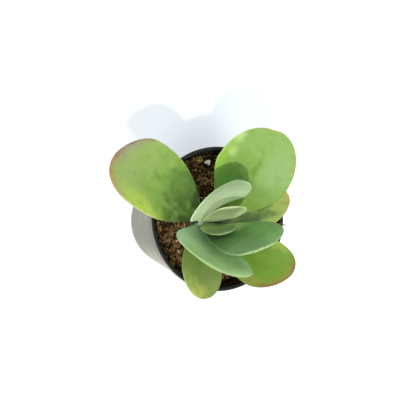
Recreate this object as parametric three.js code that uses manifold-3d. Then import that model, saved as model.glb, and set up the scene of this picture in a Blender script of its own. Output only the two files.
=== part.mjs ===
// A paddle plant in its nursery pot. Millimetres, +Z up.
// The origin is the middle of the pot's flat underside, where it stands on the bench.
import * as THREE from 'three';
import { mergeVertices } from 'three/addons/utils/BufferGeometryUtils.js';
import Module from 'manifold-3d';

const wasm = await Module();
wasm.setup();

// ---- driving dimensions ----------------------------------------------------

const TAU = 2 * Math.PI;
const GOLDEN_ANGLE = Math.PI * (3 - Math.sqrt(5));
const FIT = 0.3;                       // clearance between pieces that touch

const POT = {
  height: 97,
  rimRadius: 52.5,                     // outside of the collar round the mouth
  rimHeight: 4.7,
  rimThickness: 2.5,
  rimStep: 1.6,                        // how far the collar stands out of the tapering wall
  rimBevel: 0.4,
  footRadius: 37,
  wall: 1.2,
  floor: 1.6,
  footBevel: 1.5,
  sides: 72,
  drainHoles: 8,
  drainRadius: 3.5,
  drainCircle: 26,
};

const STEM = {
  x: -17.5,                            // the plant stands off the pot's centre
  y: -2.2,
  root: 58,                            // lowest tip of the woody root
  tip: 119,
  sides: 20,
};

const SOIL = {
  top: 84,
  roughness: 0.9,
  brim: 1,                             // how much lower the mix is along the pot's wall
  sides: 40,
  rings: 5,
  chips: 104,
  chipSides: 5,
  chipLength: [4.5, 10],
  chipWidth: [3, 6],
  chipThickness: [1.8, 3.2],
  chipSlant: 0.7,                      // radians between the steepest chips
  seed: 3,
};

// A white grain of perlite in the surface, at the back of the pot.
const GRAIN = {
  x: -3.2,
  y: 42,
  turn: 26,                            // degrees
  length: 6.4,
  width: 3.4,
  height: 3,
  clearing: 6,                         // no chip lies nearer than this
};

// Leaves from the lowest pair up. The seat is on the stem: x and y from its axis, z above the bench.
// Heading, lift and roll are in degrees at the seat, and sweep, arch and twist are what the leaf
// turns by on its way to the tip. The heading is measured from +X towards +Y.
// Widest is the share of the length at which the blade is widest, foot the share of the width at
// the seat, flare how slowly it opens, tip how square the end is, skew by which share the left half's
// end is squarer than the middle, lean the share by which the left half is wider, cup how far the
// margins are raised, as a share of the half width.
const LEAVES = [
  {
    name: 'leaf_lowest_south', seat: [0.5, -4, 90.5], heading: -93.2, sweep: 11.3, lift: 21.2,
    arch: -20.9, roll: 0.5, twist: -3.2, length: 51.9, width: 31.5, widest: 0.57, foot: 0.22,
    flare: 1.2, tip: 2.08, skew: 0.03, lean: -0.03, cup: 0.11, thick: 3.6, colour: 0x7f9a52,
  },
  {
    name: 'leaf_lowest_east', seat: [3.5, 1, 93.5], heading: 13, sweep: -4, lift: 9,
    arch: -3, roll: 4, twist: 2, length: 71.5, width: 40, widest: 0.56, foot: 0.25,
    flare: 1.2, tip: 1.86, skew: 0, lean: 0.06, cup: 0.11, thick: 3.8, colour: 0xa5b45c,
  },
  {
    name: 'leaf_outer_east', seat: [2, -2, 98.4], heading: -33.2, sweep: 5.4, lift: 14.1,
    arch: -2.6, roll: -11, twist: 25.2, length: 75.9, width: 39.1, widest: 0.64, foot: 0.3,
    flare: 1.43, tip: 2.04, skew: 0.2, lean: -0.14, cup: 0.11, thick: 4, colour: 0x88aa44,
  },
  {
    name: 'leaf_outer_west', seat: [-1, 4.5, 100], heading: 140, sweep: 10, lift: 24.5,
    arch: -44, roll: -6, twist: 31.5, length: 77.2, width: 54.8, widest: 0.72, foot: 0.13,
    flare: 0.89, tip: 1.84, skew: 0.03, lean: 0.07, cup: 0.22, thick: 4.4, colour: 0x91be5a,
  },
  {
    name: 'leaf_broad_south', seat: [-1, -2.8, 103.9], heading: -116, sweep: -2.8, lift: 52.5,
    arch: 19.4, roll: 4.5, twist: -2.6, length: 65.2, width: 56.5, widest: 0.67, foot: 0.17,
    flare: 0.99, tip: 2.34, skew: 0.05, lean: 0.05, cup: 0.14, thick: 3.8, colour: 0x86b67a,
  },
  {
    name: 'leaf_broad_north', seat: [3.5, 2.3, 105], heading: 38.7, sweep: 37.8, lift: 42.7,
    arch: -24.4, roll: 5, twist: -8, length: 81.6, width: 57.9, widest: 0.61, foot: 0.12,
    flare: 1.81, tip: 2.17, skew: 0.07, lean: 0.09, cup: 0.16, thick: 4.4, colour: 0x9cc66e,
  },
  {
    name: 'leaf_inner_south', seat: [3.3, -2.8, 110.5], heading: -52.7, sweep: -22.3, lift: 70,
    arch: -3.5, roll: -32.5, twist: 29.2, length: 53, width: 51.1, widest: 0.65, foot: 0.16,
    flare: 0.96, tip: 3.36, skew: -0.11, lean: 0.22, cup: 0.15, thick: 3.5, colour: 0x5f9152,
  },
  {
    name: 'leaf_inner_north', seat: [-2.5, 1.3, 110.7], heading: 110.2, sweep: -40.4, lift: 58.3,
    arch: 20.2, roll: 12.2, twist: 15.7, length: 65.6, width: 46, widest: 0.44, foot: 0.21,
    flare: 2.14, tip: 2.14, skew: 0.13, lean: -0.06, cup: 0.25, thick: 3.6, colour: 0xb4d2a0,
  },
  {
    name: 'leaf_heart_south', seat: [0, -1.5, 117.6], heading: -98.9, sweep: 10.7, lift: 76.9,
    arch: -3, roll: 0.7, twist: 8.7, length: 25.6, width: 25.1, widest: 0.57, foot: 0.26,
    flare: 1.48, tip: 2.24, skew: 0.04, lean: -0.01, cup: 0.11, thick: 2.6, colour: 0x6f9355,
  },
  {
    name: 'leaf_heart_north', seat: [0.5, 1.35, 117.3], heading: 94.4, sweep: 2.6, lift: 87.2,
    arch: -19.6, roll: -2.8, twist: -0.8, length: 37.4, width: 27.4, widest: 0.69, foot: 0.18,
    flare: 0.53, tip: 2.8, skew: 0.05, lean: -0.09, cup: 0.05, thick: 2.6, colour: 0xa4c07a,
  },
];

const LEAF = {
  around: 12,                          // facets round a blade
  along: 18,                           // facets from seat to tip
  steps: 60,                           // steps in which the midrib is drawn
  start: 3,                            // how far a blade begins behind its seat, inside the stem
  edge: 1.3,                           // width of the rounded margin
  thinning: 0.4,                       // how much thinner the blade is beside its margin
  tipThickness: 0.62,                  // thickness near the tip, as a share of that at the seat
};

// ---- helpers ---------------------------------------------------------------

/** Seeded random numbers between 0 and 1. */
function randomSource(seed) {
  let state = seed;
  return () => {
    state = (state * 1664525 + 1013904223) % 4294967296;
    return state / 4294967296;
  };
}

/** A closed three.js geometry as a manifold solid. */
function solid(geometry) {
  const bare = geometry.clone();
  bare.deleteAttribute('normal');
  bare.deleteAttribute('uv');
  const merged = mergeVertices(bare, 1e-4);
  return new wasm.Manifold(new wasm.Mesh({
    numProp: 3,
    vertProperties: new Float32Array(merged.attributes.position.array),
    triVerts: new Uint32Array(merged.index.array),
  }));
}

/** A manifold solid as a three.js geometry. */
function geometryOf(manifold) {
  const mesh = manifold.getMesh();
  const geometry = new THREE.BufferGeometry();
  geometry.setAttribute('position', new THREE.BufferAttribute(mesh.vertProperties, 3));
  geometry.setIndex(new THREE.BufferAttribute(mesh.triVerts, 1));
  geometry.computeVertexNormals();
  return geometry;
}

/** A solid of revolution about +Z from [radius, height] pairs. */
function turned(profile, sides) {
  const points = profile.map(([radius, height]) => new THREE.Vector2(radius, height));
  return new THREE.LatheGeometry(points, sides).rotateX(Math.PI / 2);
}

function material(colour, roughness, metalness = 0) {
  return new THREE.MeshStandardMaterial({ color: colour, roughness, metalness });
}

function piece(name, geometry, finish) {
  const mesh = new THREE.Mesh(geometry, finish);
  mesh.name = name;
  return mesh;
}

// ---- pot -------------------------------------------------------------------

/** Outside radius of the pot's tapering wall at a height. */
function wallRadius(z) {
  const rise = POT.rimRadius - POT.rimStep - POT.footRadius;
  return POT.footRadius + rise * z / (POT.height - POT.rimHeight);
}

/** A tapering pot with a collar round its mouth and drain holes in its floor. */
function potGeometry() {
  const rimFoot = POT.height - POT.rimHeight;
  const shell = solid(turned([
    [0, 0],
    [POT.footRadius - POT.footBevel, 0],
    [wallRadius(POT.footBevel), POT.footBevel],
    [wallRadius(rimFoot), rimFoot],
    [POT.rimRadius - POT.rimBevel, rimFoot],
    [POT.rimRadius, rimFoot + POT.rimBevel],
    [POT.rimRadius, POT.height - POT.rimBevel],
    [POT.rimRadius - POT.rimBevel, POT.height],
    [POT.rimRadius - POT.rimThickness, POT.height],
    [wallRadius(rimFoot) - POT.wall, rimFoot],
    [wallRadius(POT.floor) - POT.wall, POT.floor],
    [0, POT.floor],
  ], POT.sides));
  const drill = new THREE.CylinderGeometry(POT.drainRadius, POT.drainRadius, 4 * POT.floor, 20);
  drill.rotateX(Math.PI / 2);
  let drained = shell;
  for (let i = 0; i < POT.drainHoles; i++) {
    const angle = TAU * i / POT.drainHoles;
    const hole = drill.clone();
    hole.translate(POT.drainCircle * Math.cos(angle), POT.drainCircle * Math.sin(angle), 0);
    drained = drained.subtract(solid(hole));
  }
  return geometryOf(drained);
}

// ---- stem ------------------------------------------------------------------

/** The stem's radius steps in a little above each pair of leaves. */
function stemProfile(extra) {
  const points = [
    [1.2, STEM.root],
    [2.6, STEM.root + 6],
    [4.4, SOIL.top - 8],
    [4.9, SOIL.top],
    [4.6, SOIL.top + 5],
    [4.8, SOIL.top + 8],
    [4.4, SOIL.top + 12],
    [4.5, SOIL.top + 16],
    [3.9, SOIL.top + 20],
    [3.6, SOIL.top + 25],
    [2.4, SOIL.top + 29],
    [1.7, STEM.tip - 2],
    [0.9, STEM.tip - 0.4 + extra],
  ].map(([radius, height]) => [radius + extra, height]);
  return [[0, STEM.root - 1 - extra], ...points, [0, STEM.tip + extra]];
}

function stemGeometry(extra = 0) {
  return turned(stemProfile(extra), STEM.sides).translate(STEM.x, STEM.y, 0);
}

// ---- leaves ----------------------------------------------------------------

/** Half of a blade's width at a share of its length, towards a side from -1, right, to 1, left. */
function halfWidth(leaf, share, side) {
  const half = leaf.width / 2;
  if (share < leaf.widest) {
    const opening = Math.sin(Math.PI / 2 * Math.max(share, 0) / leaf.widest) ** leaf.flare;
    return half * (leaf.foot + (1 - leaf.foot) * opening);
  }
  const toTip = Math.min((share - leaf.widest) / (1 - leaf.widest), 1);
  const power = leaf.tip * (1 + leaf.skew * side);
  return half * (1 - toTip ** power) ** (1 / power);
}

/** Points and directions along a leaf's midrib: where it is, across to its left, and up. */
function midrib(leaf) {
  const rad = THREE.MathUtils.degToRad;
  const stations = [];
  const place = new THREE.Vector3(STEM.x + leaf.seat[0], STEM.y + leaf.seat[1], leaf.seat[2]);
  let before = null;
  for (let i = 0; i <= LEAF.steps; i++) {
    const share = i / LEAF.steps;
    const heading = rad(leaf.heading + leaf.sweep * share);
    const lift = rad(leaf.lift + leaf.arch * share);
    const roll = rad(leaf.roll + leaf.twist * share);
    const along = new THREE.Vector3(
      Math.cos(lift) * Math.cos(heading), Math.cos(lift) * Math.sin(heading), Math.sin(lift));
    const across = new THREE.Vector3(-Math.sin(heading), Math.cos(heading), 0);
    across.applyAxisAngle(along, roll);
    const up = new THREE.Vector3().crossVectors(along, across);
    if (before) {
      const step = before.clone().add(along).multiplyScalar(leaf.length / LEAF.steps / 2);
      place.add(step);
    }
    before = along;
    stations.push({ place: place.clone(), along, across, up });
  }
  return stations;
}

/** A station of the midrib at any share of the length. It runs straight on behind the seat. */
function stationAt(stations, leaf, share) {
  const slot = Math.min(Math.max(share, 0), 1) * LEAF.steps;
  const low = Math.min(Math.floor(slot), LEAF.steps - 1);
  const [a, b] = [stations[low], stations[low + 1]];
  const mix = slot - low;
  const place = a.place.clone().lerp(b.place, mix);
  place.addScaledVector(a.along, Math.min(share, 0) * leaf.length);
  return {
    place,
    across: a.across.clone().lerp(b.across, mix).normalize(),
    up: a.up.clone().lerp(b.up, mix).normalize(),
  };
}

/** A fleshy blade: a sphere with one pole at the seat and the other at the tip, drawn out flat. */
function leafGeometry(leaf) {
  const stations = midrib(leaf);
  const start = -LEAF.start / leaf.length;
  const blade = new THREE.SphereGeometry(1, LEAF.around, LEAF.along);
  const position = blade.attributes.position;
  const point = new THREE.Vector3();
  for (let i = 0; i < position.count; i++) {
    point.fromBufferAttribute(position, i);
    const share = start + (1 - start) * (1 + point.y) / 2;
    const ring = Math.hypot(point.x, point.z);
    const side = ring > 1e-6 ? -point.x / ring : 0;
    const face = ring > 1e-6 ? point.z / ring : 0;
    const half = ring > 1e-6 ? halfWidth(leaf, share, side) : 0;
    const x = half * side * (1 + leaf.lean * side);
    const inset = Math.min(half * (1 - Math.abs(side)), (1 - share) * leaf.length) / LEAF.edge;
    const rounding = Math.sqrt(1 - (1 - Math.min(inset, 1)) ** 2);
    const taper = 1 - (1 - LEAF.tipThickness) * share;
    const depth = leaf.thick / 2 * taper * (1 - LEAF.thinning * side * side) * rounding;
    const dish = leaf.cup * x * x / (leaf.width / 2);
    const station = stationAt(stations, leaf, share);
    point.copy(station.place);
    point.addScaledVector(station.across, x);
    point.addScaledVector(station.up, dish + Math.sign(face) * depth * (Math.abs(face) > 1e-3));
    position.setXYZ(i, point.x, point.y, point.z);
  }
  const room = solid(stemGeometry(FIT));
  return geometryOf(solid(blade).subtract(room));
}

// ---- soil ------------------------------------------------------------------

/** Ground level of the potting mix, uneven as it was filled. */
function groundLevel(x, y) {
  const wave = Math.sin(x / 7 + 1) * Math.cos(y / 9) + 0.6 * Math.sin((x + 2 * y) / 6);
  return SOIL.top + SOIL.roughness * wave;
}

/** One bark chip: a short slab with uneven corners, lying at a slant in the surface. */
function chipGeometry(random) {
  const between = ([low, high]) => low + (high - low) * random();
  const chip = new THREE.CylinderGeometry(0.5, 0.42, 1, SOIL.chipSides, 1);
  chip.rotateY(TAU * random());
  chip.scale(between(SOIL.chipLength), between(SOIL.chipThickness), between(SOIL.chipWidth));
  chip.rotateX(Math.PI / 2 + SOIL.chipSlant * (random() - 0.5));
  chip.rotateY(SOIL.chipSlant * (random() - 0.5));
  chip.rotateZ(TAU * random());
  return chip;
}

/** The mix fills the pot up to an uneven top, with bark chips that are one body with it. */
function soilGeometry() {
  const inside = (z) => wallRadius(z) - POT.wall - FIT;
  const low = POT.floor + FIT;
  const brim = SOIL.top - SOIL.brim;
  const profile = [[0, low], [inside(low), low], [inside(brim), brim]];
  for (let ring = SOIL.rings; ring >= 0; ring--) {
    profile.push([(inside(brim) - SOIL.brim) * ring / SOIL.rings, SOIL.top]);
  }
  const heap = turned(profile, SOIL.sides);
  const position = heap.attributes.position;
  for (let i = 0; i < position.count; i++) {
    if (position.getZ(i) > brim + SOIL.brim / 2) {
      position.setZ(i, groundLevel(position.getX(i), position.getY(i)));
    }
  }
  let mix = solid(heap);
  const random = randomSource(SOIL.seed);
  const reach = inside(brim) - SOIL.chipLength[1] / 2;
  for (let i = 0; i < SOIL.chips; i++) {
    const radius = reach * Math.sqrt((i + 0.5) / SOIL.chips);
    const angle = i * GOLDEN_ANGLE;
    const x = radius * Math.cos(angle);
    const y = radius * Math.sin(angle);
    const chip = chipGeometry(random);
    chip.translate(x, y, groundLevel(x, y) + 0.3 * random());
    if (Math.hypot(x - GRAIN.x, y - GRAIN.y) > GRAIN.clearing) {
      mix = mix.add(solid(chip));
    }
  }
  mix = mix.subtract(solid(stemGeometry(FIT)));
  mix = mix.subtract(solid(grainGeometry(FIT)));
  return geometryOf(mix);
}

/** The grain lies half sunk in the mix. */
function grainGeometry(extra = 0) {
  const grain = new THREE.DodecahedronGeometry(0.5, 0);
  grain.scale(GRAIN.length + 2 * extra, GRAIN.width + 2 * extra, GRAIN.height + 2 * extra);
  grain.rotateZ(THREE.MathUtils.degToRad(GRAIN.turn));
  return grain.translate(GRAIN.x, GRAIN.y, groundLevel(GRAIN.x, GRAIN.y) + GRAIN.height / 4);
}

// ---- the plant -------------------------------------------------------------

const plant = new THREE.Group();
plant.add(piece('pot', potGeometry(), material(0x9f9d90, 0.45)));
plant.add(piece('soil', soilGeometry(), material(0x4a3826, 0.95)));
plant.add(piece('perlite_grain', grainGeometry(), material(0xe8e2d4, 0.9)));
plant.add(piece('stem', stemGeometry(), material(0x8fae7c, 0.6)));
for (const leaf of LEAVES) {
  plant.add(piece(leaf.name, leafGeometry(leaf), material(leaf.colour, 0.5)));
}

export default plant;
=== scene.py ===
"""A paddle plant in its nursery pot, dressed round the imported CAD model."""

import logging
import math
import random
from dataclasses import dataclass
from enum import Enum
from typing import Optional, Sequence

import bmesh
import bpy
from mathutils import Matrix, Vector, noise


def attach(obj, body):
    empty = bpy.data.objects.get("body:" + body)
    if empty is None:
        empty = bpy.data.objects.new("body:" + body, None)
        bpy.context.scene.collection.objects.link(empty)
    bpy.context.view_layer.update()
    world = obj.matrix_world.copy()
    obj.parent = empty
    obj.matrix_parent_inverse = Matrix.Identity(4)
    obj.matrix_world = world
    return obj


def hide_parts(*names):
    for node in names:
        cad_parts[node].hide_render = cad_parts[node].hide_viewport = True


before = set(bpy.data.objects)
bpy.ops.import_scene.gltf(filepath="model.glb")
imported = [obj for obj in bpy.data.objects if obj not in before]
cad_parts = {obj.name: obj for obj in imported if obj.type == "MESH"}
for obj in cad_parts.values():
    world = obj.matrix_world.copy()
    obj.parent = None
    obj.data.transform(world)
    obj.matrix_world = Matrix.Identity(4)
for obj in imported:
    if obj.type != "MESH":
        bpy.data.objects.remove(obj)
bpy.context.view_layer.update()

LOG = logging.getLogger("paddle_plant")
MM = 0.001
TAU = 2 * math.pi
GOLDEN_ANGLE = math.pi * (3 - math.sqrt(5))
BODY = "root"

Pair = tuple[float, float]
Triple = tuple[float, float, float]
Colour = Triple
Profile = Sequence[Pair]
Socket = bpy.types.NodeSocket
Material = bpy.types.Material
Mesh = bmesh.types.BMesh
Piece = bpy.types.Object


def rgb(*channels: int) -> Colour:
    """A display colour with channels of 0 to 255 as linear light."""
    return tuple(share / 12.92 if share <= 0.04045 else ((share + 0.055) / 1.055) ** 2.4
                 for share in (channel / 255 for channel in channels))


# ---- materials ----


class Recipe:
    """A material's node tree while it is being written.

    Sockets and plain numbers can both be given wherever a value is asked for.
    """

    PATCH_CORE = 0.15               # the share of a patch's reach over which it is full
    USUAL = (0.3, 0.7)              # between which most of a speckle lies

    def __init__(self, name: str) -> None:
        """Start an empty tree that ends in one Principled surface.

        Args:
            name: the material's name.
        """
        self.material = bpy.data.materials.new(name)
        self.material.use_nodes = True
        self.tree = self.material.node_tree
        self.surface = self.tree.nodes["Principled BSDF"]
        self.place = self.node("TexCoord").outputs["Object"]

    def feed(self, node: bpy.types.Node, inputs: dict[object, object]) -> None:
        """Link or set some inputs of a node.

        Args:
            node: the node.
            inputs: what each input takes, by its name or number.
        """
        for key, value in inputs.items():
            socket = node.inputs[key]
            if isinstance(value, Socket):
                self.tree.links.new(value, socket)
            else:
                socket.default_value = (*value, 1.0) if socket.type == "RGBA" else value

    def node(self, kind: str, inputs: Optional[dict[object, object]] = None,
             **settings: str) -> bpy.types.Node:
        """Add one node.

        Args:
            kind: Blender's name for it, without the part that all shader nodes share.
            inputs: what each input takes.
            settings: its settings by name.

        Returns:
            The node.
        """
        node = self.tree.nodes.new(f"ShaderNode{kind}")
        for name, value in settings.items():
            setattr(node, name, value)
        self.feed(node, inputs or {})
        return node

    def maths(self, operation: str, first: object, second: object = 0.0) -> Socket:
        """One Math node, by Blender's name for the operation."""
        return self.node("Math", {0: first, 1: second}, operation=operation).outputs[0]

    def spread(self, value: object, low: float, high: float,
               to_low: float = 0.0, to_high: float = 1.0) -> Socket:
        """Map the range from low to high smoothly onto another one and clamp it."""
        inputs = dict(enumerate((value, low, high, to_low, to_high)))
        return self.node("MapRange", inputs, interpolation_type="SMOOTHSTEP").outputs[0]

    def spanned(self, speckle: Socket, low: float, high: float) -> Socket:
        """Spread a speckle over a range."""
        return self.spread(speckle, *self.USUAL, low, high)

    def mix(self, share: object, under: object, over: object) -> Socket:
        """Lay a share of one colour over another."""
        return self.node("Mix", {0: share, 6: under, 7: over}, data_type="RGBA").outputs[2]

    def veil(self, under: object, over: object, value: Socket, start: float, full: float,
             strength: float) -> Socket:
        """Lay a colour over another, from nothing at one value to a strength at a second one."""
        return self.mix(self.spread(value, start, full, 0.0, strength), under, over)

    def ramp(self, value: object, stops: Sequence[tuple[float, Colour]]) -> Socket:
        """Colours along a number from 0 to 1.

        Args:
            value: the number.
            stops: pairs of a position and a colour, in order.

        Returns:
            The colour's socket.
        """
        node = self.node("ValToRGB", {0: value})
        elements = node.color_ramp.elements
        while len(elements) < len(stops):
            elements.new(1.0)
        for element, (position, colour) in zip(elements, stops):
            element.position = position
            element.color = (*colour, 1.0)
        return node.outputs[0]

    def speckle(self, scale: float, detail: float = 3.0, roughness: float = 0.55,
                where: Optional[Socket] = None) -> Socket:
        """Noise from 0 to 1, with so many blobs to a metre, or to a unit of where."""
        return self.node("TexNoise", {"Vector": where or self.place, "Scale": scale,
                                      "Detail": detail, "Roughness": roughness}).outputs[0]

    def painted(self, name: str) -> bpy.types.Node:
        """The node that reads one of the mesh's own attributes by its name."""
        return self.node("Attribute", attribute_name=name)

    def split(self, vector: Socket) -> tuple[Socket, ...]:
        """The three parts of a vector."""
        return tuple(self.node("SeparateXYZ", {0: vector}).outputs)

    def patch(self, where: Socket, centre: Pair, reach: Pair, ragged: object) -> Socket:
        """A soft oval patch in the first two parts of a vector.

        Args:
            where: the vector.
            centre: the middle of the patch.
            reach: how far it reaches both ways.
            ragged: a number that moves its edge in and out.

        Returns:
            A number that is 1 in the middle of the patch and 0 outside it.
        """
        away = self.node("VectorMath", {0: where, 1: (*centre, 0.0)}, operation="SUBTRACT")
        scale = (1 / reach[0], 1 / reach[1], 0.0)
        away = self.node("VectorMath", {0: away.outputs[0], 1: scale}, operation="MULTIPLY")
        away = self.node("VectorMath", {0: away.outputs[0]}, operation="LENGTH")
        edge = self.maths("ADD", away.outputs["Value"], ragged)
        return self.spread(edge, 1.0, self.PATCH_CORE)

    def relief(self, height: Socket, depth: float, strength: float) -> None:
        """Give the surface a bump. A height of 1 stands for the depth in metres."""
        bump = self.node("Bump", {"Distance": depth, "Strength": strength, "Height": height})
        self.feed(self.surface, {"Normal": bump.outputs[0]})

    def finish(self, colour: object, roughness: object, **others: object) -> Material:
        """Connect the surface.

        Args:
            colour: the base colour.
            roughness: the surface's roughness.
            others: its other inputs by name, with _ for a space.

        Returns:
            The finished material.
        """
        self.feed(self.surface, {"Base Color": colour, "Roughness": roughness})
        self.feed(self.surface, {name.replace("_", " "): value for name, value in others.items()})
        return self.material


@dataclass(frozen=True)
class Tint:
    """A soft patch of another colour on a blade. Some tints are painted light or shade, and the leaves
    that have them say so.
    """

    colour: Colour
    share: float                    # where it lies along the blade, 0 at the seat, 1 at the tip
    across: float                   # where it lies across, from -1, right, to 1, left
    reach: Pair                     # how far it reaches along and across
    strength: float = 0.8
    rim: float = 0.0                # it keeps this near the margin, in millimetres, if not 0


@dataclass(frozen=True)
class LeafFinish:
    """The skin of one leaf: fleshy green under a pale bloom, with soft tints, some of them painted
    light or shade, and a painted glow.
    """

    base: Colour                    # near the stem
    middle: Colour
    tip: Colour
    tints: tuple[Tint, ...] = ()
    bloom: Colour = rgb(176, 205, 178)
    bloom_strength: float = 0.04
    powder: float = 0.0             # sheen of the powdery bloom
    flesh: float = 0.12             # how much light passes into the flesh
    painted_leaf_glow: Colour = (0.0, 0.0, 0.0)   # painted glow: a small emission that lifts the shade on the blade
    painted_glow_spot: Triple = (0.4, -0.5, 0.0)     # where the painted glow is stronger, along and across, and how much stronger

    CLOUDS, BLOTCHES, POWDER, MOTTLES, FRAYS, DUST = 60, 130, 120, 300, 400, 1500   # to a metre
    ALONG = (0.0, 0.2, 0.5, 0.8)    # shares of the length at which the ground colours lie
    DRIFT = 0.06                    # how far those wander, as a share of the length
    BLUR = 0.22                     # how far the edge of a tint wanders, as a share of its reach
    PAINTED_GLOW_REACH = (0.28, 0.8)        # how far the stronger painted glow reaches along and across
    FRAY = 0.3                      # how far the edge of a margin's tint wanders, in millimetres
    VEINS = (9.0, 2.2)              # how many streaks there are across and along
    SHINE = (0.42, 0.58)            # roughness where the bloom is thin and where it is thick
    RELIEF = (0.00012, 0.5)         # metres, and strength
    FLESH_DEPTH = (0.0024, 0.0034, 0.0012)      # how deep red, green and blue light go, in metres

    def material(self, name: str) -> Material:
        """Write the material.

        Args:
            name: the material's name.

        Returns:
            The material, which reads the blade and rim attributes of a leaf.
        """
        skin = Recipe(name)
        where = skin.painted("blade").outputs["Vector"]
        share, across, face = skin.split(where)
        rim = skin.painted("rim").outputs["Fac"]
        cloud = skin.spanned(skin.speckle(self.CLOUDS, 2.0), -self.DRIFT, self.DRIFT)
        grounds = zip(self.ALONG, (self.base, self.base, self.middle, self.tip))
        colour = skin.ramp(skin.maths("ADD", share, cloud), tuple(grounds))
        ragged = skin.spanned(skin.speckle(self.FRAYS, 2.0), -self.FRAY, self.FRAY)
        blotch = skin.speckle(self.BLOTCHES, 5.0, 0.62)
        frayed = skin.spanned(blotch, -self.BLUR, self.BLUR)
        for tint in self.tints:
            cover = skin.patch(where, (tint.share, tint.across), tint.reach, frayed)
            if tint.rim:
                near = skin.spread(skin.maths("ADD", rim, ragged), tint.rim, 0.1 * tint.rim)
                cover = skin.maths("MULTIPLY", cover, near)
            colour = skin.mix(skin.maths("MULTIPLY", cover, tint.strength), colour, tint.colour)
        veins = [skin.maths("MULTIPLY", *pair) for pair in zip((across, share), self.VEINS)]
        strewn = skin.node("CombineXYZ", dict(enumerate((*veins, face)))).outputs[0]
        for value, start, full, strength, over in (
                (skin.speckle(1.0, 3.0, 0.6, strewn), 0.42, 0.72, 0.14, self.tip),
                (blotch, 0.5, 0.72, 0.3, self.tip),
                (blotch, 0.5, 0.3, 0.26, self.base),
                (skin.speckle(self.MOTTLES, 4.0, 0.6), 0.5, 0.75, 0.14, self.base)):
            colour = skin.veil(colour, over, value, start, full, strength)
        powder = skin.speckle(self.POWDER, 5.0, 0.62)
        fine = skin.speckle(self.DUST, 2.0)
        bloom = skin.maths("MULTIPLY", skin.spread(powder, 0.3, 0.72), self.bloom_strength * 1.6)
        bloom = skin.maths("MULTIPLY", bloom, skin.spread(fine, 0.2, 0.7, 0.65, 1.0))
        colour = skin.mix(bloom, colour, self.bloom)
        height = skin.maths("ADD", skin.maths("MULTIPLY", powder, 0.7), fine)
        skin.relief(height, *self.RELIEF)
        # painted glow: a constant emission, stronger in one soft patch, that lifts the blade's shade
        *place, more = self.painted_glow_spot
        painted_glow_patch = skin.maths("MULTIPLY", skin.patch(where, tuple(place), self.PAINTED_GLOW_REACH, 0.0), more)
        return skin.finish(
            colour, skin.spanned(powder, *self.SHINE), Specular_IOR_Level=0.3,
            Sheen_Weight=self.powder, Sheen_Roughness=0.5, Sheen_Tint=self.bloom,
            Subsurface_Weight=self.flesh, Subsurface_Radius=self.FLESH_DEPTH, Subsurface_Scale=1.0,
            Emission_Color=self.painted_leaf_glow, Emission_Strength=skin.maths("ADD", painted_glow_patch, 1.0))


@dataclass(frozen=True)
class PlasticFinish:
    """Moulded pot plastic, with fine grain and some dust, painted dark bands and painted light on its
    lit side.
    """

    colour: Colour
    dust: Colour
    roughness: float
    dust_strength: float
    dark_bands: tuple[Triple, ...] = ()  # height, reach and strength of dark bands; the one at the collar's foot is painted shade
    painted_lit_side: Optional[Colour] = None  # painted light: the lighter tone on the side towards the key light
    soiled: Optional[Colour] = None     # what sticks to it below the soil line
    soil_line: float = 0.0          # metres

    GRAIN, SMUDGES = 900, 45        # to a metre
    RELIEF = (0.00003, 0.6)         # metres, and strength
    DARK_BAND = rgb(56, 52, 44)
    LIT_SIDE_SPAN = (-0.014, -0.038)        # from where to where along Y the painted light comes in, in metres
    SPLASH = 0.002                  # how ragged the soil line is, in metres

    def material(self, name: str) -> Material:
        """Write the material.

        Args:
            name: the material's name.

        Returns:
            The material.
        """
        plastic = Recipe(name)
        grain = plastic.speckle(self.GRAIN, 3.0)
        smudge = plastic.speckle(self.SMUDGES, 4.0, 0.6)
        colour = plastic.veil(self.colour, self.dust, smudge, 0.35, 0.75, self.dust_strength)
        colour = plastic.veil(colour, self.dust, grain, 0.5, 0.8, 0.12)
        _, y, z = plastic.split(plastic.place)
        # painted light on the side that faces the key light
        if self.painted_lit_side:
            colour = plastic.veil(colour, self.painted_lit_side, y, *self.LIT_SIDE_SPAN, 0.8)
        # dark bands round the wall; the one under the collar is painted shade
        for height, reach, strength in self.dark_bands:
            away = plastic.maths("ABSOLUTE", plastic.maths("SUBTRACT", z, height))
            near = plastic.spread(away, 0.3 * reach, reach, strength, 0.0)
            colour = plastic.mix(near, colour, self.DARK_BAND)
        if self.soiled:
            ragged = plastic.maths("ADD", z, plastic.spanned(grain, -self.SPLASH, self.SPLASH))
            colour = plastic.veil(colour, self.soiled, ragged, self.soil_line,
                                  self.soil_line - self.SPLASH, 0.9)
        rough = plastic.spanned(smudge, self.roughness - 0.06, self.roughness + 0.1)
        plastic.relief(grain, *self.RELIEF)
        return plastic.finish(colour, rough, Specular_IOR_Level=0.5)


@dataclass(frozen=True)
class BarkFinish:
    """Bark and coir. Each chip takes its own tone from dark to light."""

    tones: tuple[Colour, ...]
    roughness: float = 0.9

    GRAIN = 900                     # to a metre
    UNEVEN = 0.12                   # how far the grain moves a chip's tone
    RELIEF = (0.0004, 0.8)          # metres, and strength

    def material(self, name: str) -> Material:
        """Write the material.

        Args:
            name: the material's name.

        Returns:
            The material, which reads the tone attribute of the mesh.
        """
        bark = Recipe(name)
        grain = bark.speckle(self.GRAIN, 4.0, 0.65)
        shade = bark.maths("ADD", bark.painted("tone").outputs["Fac"],
                           bark.spread(grain, 0.25, 0.75, -self.UNEVEN, self.UNEVEN))
        last = len(self.tones) - 1
        colour = bark.ramp(shade, [(i / last, tone) for i, tone in enumerate(self.tones)])
        bark.relief(grain, *self.RELIEF)
        return bark.finish(colour, self.roughness, Specular_IOR_Level=0.25)


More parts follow.
